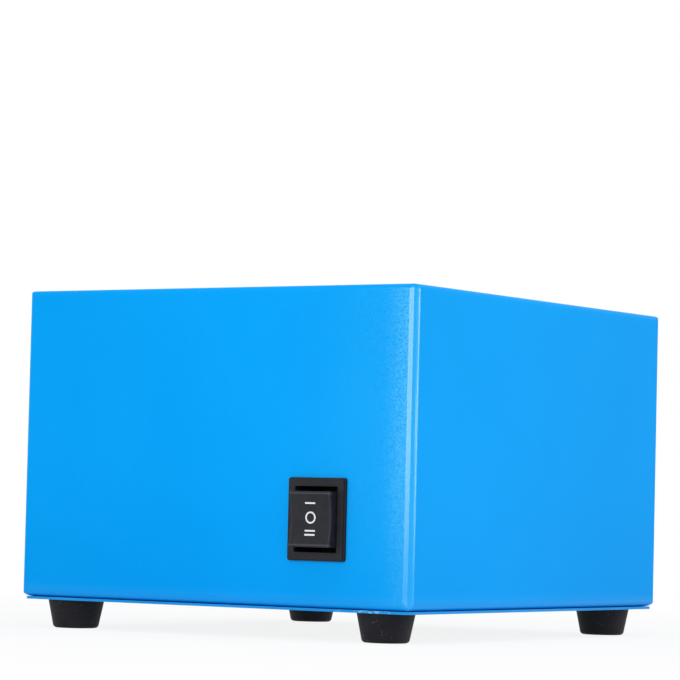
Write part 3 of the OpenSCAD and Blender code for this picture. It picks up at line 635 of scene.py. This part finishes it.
def tube(name, path, radius, sides):
    """A round rod along points; its points keep the turn round the rod and the way along it."""
    rod = bmesh.new()
    ring_layer = rod.verts.layers.float_vector.new("ring")
    points = [Vector(point) for point in path]
    last = len(points) - 1
    runs = [(points[min(i + 1, last)] - points[max(i - 1, 0)]).normalized() for i in range(last + 1)]
    normal = runs[0].orthogonal().normalized()
    way = 0
    rings = []
    for i, (point, run) in enumerate(zip(points, runs)):
        normal = (normal - normal.dot(run) * run).normalized()
        side = run.cross(normal)
        way += (point - points[max(i - 1, 0)]).length
        ring = []
        for s in range(sides):
            c = math.cos(2 * math.pi * s / sides)
            d = math.sin(2 * math.pi * s / sides)
            vert = rod.verts.new(point + radius * (c * normal + d * side))
            vert[ring_layer] = (c, d, way)
            ring.append(vert)
        rings.append(ring)
    rod.faces.new(rings[0][::-1])
    rod.faces.new(rings[-1])
    for near, far in zip(rings, rings[1:]):
        for s in range(sides):
            t = (s + 1) % sides
            rod.faces.new((near[s], near[t], far[t], far[s]))
    return new_piece(name, rod)


spring_low, spring_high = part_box("switch_springs")
spring_wire = 0.0002
spring_turns = 4
for side, name in ((0, "left_spring"), (1, "right_spring")):
    spring_r = (spring_high.z - spring_low.z) / 2 - spring_wire
    spring_x = spring_low.x + spring_r + spring_wire if side == 0 else spring_high.x - spring_r - spring_wire
    spring_z = (spring_low.z + spring_high.z) / 2
    travel = spring_high.y - spring_low.y - 2 * spring_wire
    coil = []
    for step in range(spring_turns * 24 + 1):
        turn = 2 * math.pi * step / 24
        along = spring_low.y + spring_wire + travel * step / (spring_turns * 24)
        coil.append((spring_x + spring_r * math.cos(turn), along, spring_z - spring_r * math.sin(turn)))
    spring = tube(name, coil, spring_wire, 8)
    stand_in(spring, zinc, "zinc_steel", "rocker", "switch_springs")


# Fan: an axial fan of 135 mm, with a die-cast frame in black paint. The impeller is moulded in black
# plastic round the steel rotor cup, which turns outside the stator on two bearings.
def black_casting(place):
    sand = noise(place, 0.0007, 3)
    tone = noise(place, 0.02)
    return {
        "Base Color": mix(ramp(tone, 0.3, 0.7), (0.004, 0.004, 0.006, 1), (0.008, 0.008, 0.01, 1)),
        "Roughness": 0.42 + 0.2 * sand,
        "Normal": bump(sand, 0.00006),
    }


casting = finish("black_casting", black_casting, {"Specular IOR Level": 0.3})
fan_body = eased("cast_fan_frame", "fan_frame", 0.0005)
stand_in(fan_body, casting, "fan_casting", "case", "fan_frame")


def moulded_black(place):
    flow = noise(place, 0.012, 3)
    grain = noise(place, 0.0006)
    return {
        "Base Color": mix(ramp(flow, 0.35, 0.7), (0.004, 0.004, 0.005, 1), (0.008, 0.008, 0.009, 1)),
        "Roughness": 0.34 + 0.16 * flow,
        "Normal": bump(grain, 0.000015),
    }


black_plastic = finish("black_plastic", moulded_black, {"Specular IOR Level": 0.3})
impeller = eased("moulded_impeller", "fan_impeller", 0.0004)
stand_in(impeller, black_plastic, "fan_plastic", "fan_rotor", "fan_impeller")


def laminations(place):
    z = axes(place)[2]
    stack = 0.5 + 0.5 * place.math("SINE", z * (2 * math.pi / 0.0005))
    varnish = noise(place, 0.003, 2)
    return {
        "Base Color": mix(stack * 0.6, (0.2, 0.2, 0.21, 1), (0.36, 0.35, 0.34, 1)),
        "Roughness": 0.34 + 0.2 * varnish,
        "Normal": bump(stack, 0.00004),
    }


dress(finish("stator_laminations", laminations, {"Metallic": 0.85}), "stator_core")


def pressed_steel(place):
    marks = noise(place, 0.0025, 3)
    return {
        "Base Color": mix(ramp(marks, 0.3, 0.7), (0.44, 0.44, 0.46, 1), (0.56, 0.56, 0.57, 1)),
        "Roughness": 0.26 + 0.18 * marks,
        "Normal": bump(noise(place, 0.0005), 0.00001),
    }


steel = finish("pressed_steel", pressed_steel, {"Metallic": 1.0})
stand_in(eased("drawn_cup", "rotor_cup", 0.0006, 3), steel, "zinc_steel", "fan_rotor", "rotor_cup")


def enamelled_wire(place):
    z = axes(place)[2]
    strands = abs(place.math("SINE", z * (math.pi / 0.0004)))
    tone = noise(place, 0.002, 2)
    return {
        "Base Color": mix(tone, (0.55, 0.2, 0.07, 1), (0.76, 0.34, 0.15, 1)),
        "Roughness": 0.22 + 0.14 * tone,
        "Normal": bump(strands, 0.00015),
    }


enamel = finish("enamelled_copper", enamelled_wire, {"Metallic": 0.9})
stand_in(eased("wound_coils", "stator_windings", 0.0012, 4), enamel, "copper", "case", "stator_windings")

# Label on the fan's motor plate: silver foil, die-cut to a disc and stuck on, with a plain printed band
# across it and no lettering.
label_low, label_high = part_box("fan_label")
label_middle = (label_low + label_high) / 2
band_slope = math.radians(48)
band_half = 0.0075


def foil_label(place):
    x, y, z = axes(place)
    off_band = (x - label_middle.x) * math.sin(band_slope) - (y - label_middle.y) * math.cos(band_slope)
    along = (x - label_middle.x) * math.cos(band_slope) + (y - label_middle.y) * math.sin(band_slope)
    band = 1 - ramp(abs(off_band), band_half - 0.00015, band_half + 0.00015)
    brushed = noise(place.node("CombineXYZ", {}, {0: along * 0.03, 1: off_band, 2: z}), 0.00035, 3)
    foil = mix(brushed, (0.2, 0.23, 0.28, 1), (0.32, 0.35, 0.4, 1))
    ink = mix(brushed, (0.001, 0.16, 0.7, 1), (0.002, 0.2, 0.82, 1))
    return {
        "Base Color": mix(band, foil, ink),
        "Metallic": 0.85 * (1 - band),
        "Roughness": 0.34 + 0.16 * brushed,
        "Normal": bump(brushed, 0.00001),
    }


dress(finish("silver_foil", foil_label, {"Specular IOR Level": 0.12}), "fan_label")


# Heating element: one steel-sheathed tube, packed round a resistance wire and bent cold on a former
# into two arms that wind out from the middle. Heat has left the steel dull, with a straw tint. Its legs
# and their bushes, lower in the case, are painted darker as shade.
tube_radius = 0.00325
coil_middle = Vector((-0.005, 0, 0.1044))
coil_heading = math.radians(-32)
half_straight = 0.016
arm_arcs = (
    (0.020, 154), (0.066, 60), (0.047, 90), (0.065, 45), (0.080, 45), (0.058, 90), (0.101, 45), (0.067, 45),
    (0.109, 22),
)
elbow_radius = 0.012
leg_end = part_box("heating_element")[0].z


def arm_points():
    """Points of one arm about the middle: its arcs, the elbow and the leg down to its terminal."""
    arc_step = math.radians(3)
    heading = coil_heading
    at = half_straight * Vector((math.cos(heading), math.sin(heading), 0))
    points = [at]
    for radius, degrees in arm_arcs:
        steps = math.ceil(math.radians(degrees) / arc_step)
        left = Vector((-math.sin(heading), math.cos(heading), 0))
        centre = at + radius * left
        for step in range(1, steps + 1):
            turned = Matrix.Rotation(math.radians(degrees) * step / steps, 3, "Z")
            points.append(centre - radius * (turned @ left))
        heading += math.radians(degrees)
        at = points[-1]
    ahead = Vector((math.cos(heading), math.sin(heading), 0))
    for step in range(1, 13):
        drop = math.pi / 2 * step / 12
        down = Vector((0, 0, math.cos(drop) - 1))
        points.append(at + elbow_radius * (math.sin(drop) * ahead + down))
    points.append(Vector((points[-1].x, points[-1].y, leg_end - coil_middle.z)))
    return points


def annealed_sheath(place):
    blotch = noise(place, 0.012, 3)
    scale = noise(place, 0.0022, 3)
    warm = mix(ramp(blotch, 0.3, 0.7), (0.25, 0.235, 0.22, 1), (0.32, 0.26, 0.2, 1))
    worn = mix(ramp(scale, 0.4, 0.75) * 0.4, warm, (0.1, 0.088, 0.08, 1))
    # Painted shade: below the coil the sheath and its bushes go near black.
    painted_shade_low = 1 - ramp(axes(place)[2], 0.084, 0.097)
    return {
        "Base Color": mix(painted_shade_low, worn, (0.035, 0.033, 0.032, 1)),
        "Roughness": 0.22 + 0.12 * scale,
        "Normal": bump(scale, 0.00001),
    }


sheath = finish("annealed_sheath", annealed_sheath, {"Metallic": 0.95})
one_arm = arm_points()
half_turn = Matrix.Rotation(math.pi, 3, "Z")
coil_path = [coil_middle + half_turn @ p for p in reversed(one_arm)] + [coil_middle + p for p in one_arm]
element = tube("wound_element", coil_path, tube_radius, 20)
stand_in(element, sheath, "element_sheath", "case", "heating_element")
dress(sheath, "heater_bushes", "heater_nuts")


def coat_darkened_as_shade(place):
    """The blue coat of the brackets, painted dark as shade deep in the case, and dull."""
    dark_tone = noise(place, 0.009, 3)
    return {
        "Base Color": mix(ramp(dark_tone, 0.3, 0.7), (0.001, 0.045, 0.15, 1), (0.006, 0.02, 0.05, 1)),
        "Roughness": 0.45 + 0.15 * dark_tone,
        "Normal": bump(orange_peel(place), 0.00006),
    }


shade_dark_blue_paint = finish("blue_painted_dark_as_shade", coat_darkened_as_shade, {"Specular IOR Level": 0.2})
brackets = eased("folded_brackets", "heater_brackets", 0.0002)
stand_in(brackets, shade_dark_blue_paint, "blue_paint", "case", "heater_brackets")


def fired_ceramic(place):
    pores = noise(place, 0.0004, 3)
    return {
        "Base Color": mix(ramp(pores, 0.55, 0.8), (0.8, 0.79, 0.74, 1), (0.6, 0.58, 0.53, 1)),
        "Roughness": 0.55 + 0.2 * pores,
        "Normal": bump(pores, 0.00003),
    }


dress(finish("fired_ceramic", fired_ceramic), "heater_insulators")


# Wiring: stranded leads in vinyl, brown and blue for the mains and green with yellow for earth, and in
# woven glass sleeves for the hot element. Each is held at both ends, inside the case.
lead_radius = 0.0012


def smooth_route(points, steps=8):
    """A curve through given points."""
    route = []
    placed = [Vector(p) for p in points]
    for i in range(len(placed) - 1):
        a = placed[max(i - 1, 0)]
        b = placed[i]
        c = placed[i + 1]
        d = placed[min(i + 2, len(placed) - 1)]
        for step in range(steps):
            t = step / steps
            bend = (2 * a - 5 * b + 4 * c - d) * t * t + (3 * b - a - 3 * c + d) * t ** 3
            route.append((2 * b + (c - a) * t + bend) / 2)
    return route + [placed[-1]]


def vinyl(dark, light):
    """Vinyl insulation between two tones, with the faint ripple of the strands inside."""
    def recipe(place):
        tone = noise(place, 0.004, 2)
        ripple = noise(place, 0.0012)
        return {
            "Base Color": mix(tone, dark, light),
            "Roughness": 0.3 + 0.15 * tone,
            "Normal": bump(ripple, 0.00004),
        }
    return recipe


def round_and_along(place):
    """The turn round a rod, in radians, and the way along it, in metres."""
    ring = place.node("Attribute", {"attribute_name": "ring"}, out="Vector")
    c, d, way = axes(ring)
    return place.math("ARCTAN2", d, c), way


def woven_glass(place):
    turn, way = round_and_along(place)
    lay = way * (2 * math.pi / 0.0022)
    weave = abs(place.math("SINE", 4 * turn + lay)) * abs(place.math("SINE", 4 * turn - lay))
    return {
        "Base Color": mix(weave, (0.5, 0.5, 0.47, 1), (0.8, 0.8, 0.77, 1)),
        "Roughness": 0.5 + 0.2 * weave,
        "Normal": bump(weave, 0.00012),
    }


def earth_stripe(place):
    turn, way = round_and_along(place)
    stripe = ramp(place.math("SINE", turn + way * 60), -0.05, 0.05)
    return {
        "Base Color": mix(stripe, (0.02, 0.26, 0.03, 1), (0.78, 0.62, 0.02, 1)),
        "Roughness": 0.32 + 0.12 * noise(place, 0.003),
        "Normal": bump(noise(place, 0.0012), 0.00004),
    }


brown = finish("brown_vinyl", vinyl((0.1, 0.035, 0.012, 1), (0.16, 0.06, 0.022, 1)))
blue = finish("blue_vinyl", vinyl((0.012, 0.07, 0.36, 1), (0.02, 0.11, 0.5, 1)))
glass_sleeve = finish("woven_glass", woven_glass)
earth_vinyl = finish("earth_vinyl", earth_stripe)
leads = {
    "live_wire": (brown, "brown_insulation", (
        (0.05775, -0.0737, 0.04505), (0.066, -0.0737, 0.04505), (0.076, -0.069, 0.038),
        (0.082, -0.058, 0.028), (0.083, -0.04, 0.022), (0.083, 0, 0.022), (0.083, 0.04, 0.022),
        (0.081, 0.058, 0.022), (0.072, 0.07, 0.023), (0.06, 0.0724, 0.022), (0.0515, 0.0726, 0.02),
        (0.05, 0.075, 0.019), (0.05, 0.076, 0.019),
    )),
    "fan_live_wire": (brown, "brown_insulation", (
        (0.04085, -0.0737, 0.05305), (0.034, -0.0737, 0.052), (0.027, -0.076, 0.044), (0.02, -0.08, 0.037),
        (0.0165, -0.078, 0.034), (0.016, -0.07125, 0.034),
    )),
    "fan_neutral_wire": (blue, "blue_insulation", (
        (0.024, -0.07125, 0.034), (0.025, -0.077, 0.032), (0.032, -0.079, 0.025), (0.048, -0.077, 0.019),
        (0.064, -0.071, 0.017), (0.076, -0.06, 0.017), (0.079, -0.042, 0.016), (0.079, 0, 0.016),
        (0.079, 0.042, 0.016), (0.076, 0.06, 0.016), (0.066, 0.071, 0.017), (0.052, 0.0724, 0.0146),
        (0.043, 0.0726, 0.0155), (0.04, 0.075, 0.019), (0.04, 0.076, 0.019),
    )),
    "heater_live_wire": (glass_sleeve, "white_insulation", (
        (0.05775, -0.0737, 0.05305), (0.064, -0.0737, 0.0545), (0.067, -0.073, 0.059),
        (0.064, -0.0705, 0.0656), (0.05884, -0.06879, 0.0656),
    )),
    "heater_neutral_wire": (glass_sleeve, "white_insulation", (
        (-0.06144, 0.06879, 0.0656), (-0.054, 0.072, 0.062), (-0.046, 0.075, 0.052), (-0.034, 0.075, 0.04),
        (-0.014, 0.074, 0.032), (0.01, 0.073, 0.028), (0.024, 0.0724, 0.025), (0.029, 0.0726, 0.021),
        (0.03, 0.075, 0.019), (0.03, 0.076, 0.019),
    )),
    "earth_wire": (earth_vinyl, "green_insulation", (
        (0.02, 0.076, 0.019), (0.02, 0.075, 0.019), (0.019, 0.0725, 0.018), (0.015, 0.0723, 0.016),
        (0.0105, 0.075, 0.0145), (0.0088, 0.079, 0.0139), (0.0076, 0.083, 0.0135), (0.0055, 0.084, 0.01335),
        (0.00325, 0.084, 0.01335),
    )),
}
for node, (insulation, slot, route) in leads.items():
    lead = tube(node + "_lead", smooth_route(route), lead_radius, 12)
    stand_in(lead, insulation, slot, "case", node)


# Cord gland: moulded black nylon, with a hexagon to hold it by and a clamp nut inside the rear wall. The
# terminal block, which stands inside on the base plate, is moulded in the same nylon.
def moulded_nylon(place):
    grain = noise(place, 0.0004, 2)
    return {
        "Base Color": mix(grain, (0.012, 0.012, 0.013, 1), (0.021, 0.021, 0.023, 1)),
        "Roughness": 0.4 + 0.18 * grain,
        "Normal": bump(grain, 0.00002),
    }


gland_plastic = finish("gland_nylon", moulded_nylon)
gland = eased("gland_body", "cord_gland", 0.0004, 3)
stand_in(gland, gland_plastic, "gland_plastic", "case", "cord_gland")
dress(gland_plastic, "gland_nut")
block = eased("moulded_block", "terminal_block", 0.0003)
stand_in(block, gland_plastic, "gland_plastic", "case", "terminal_block")
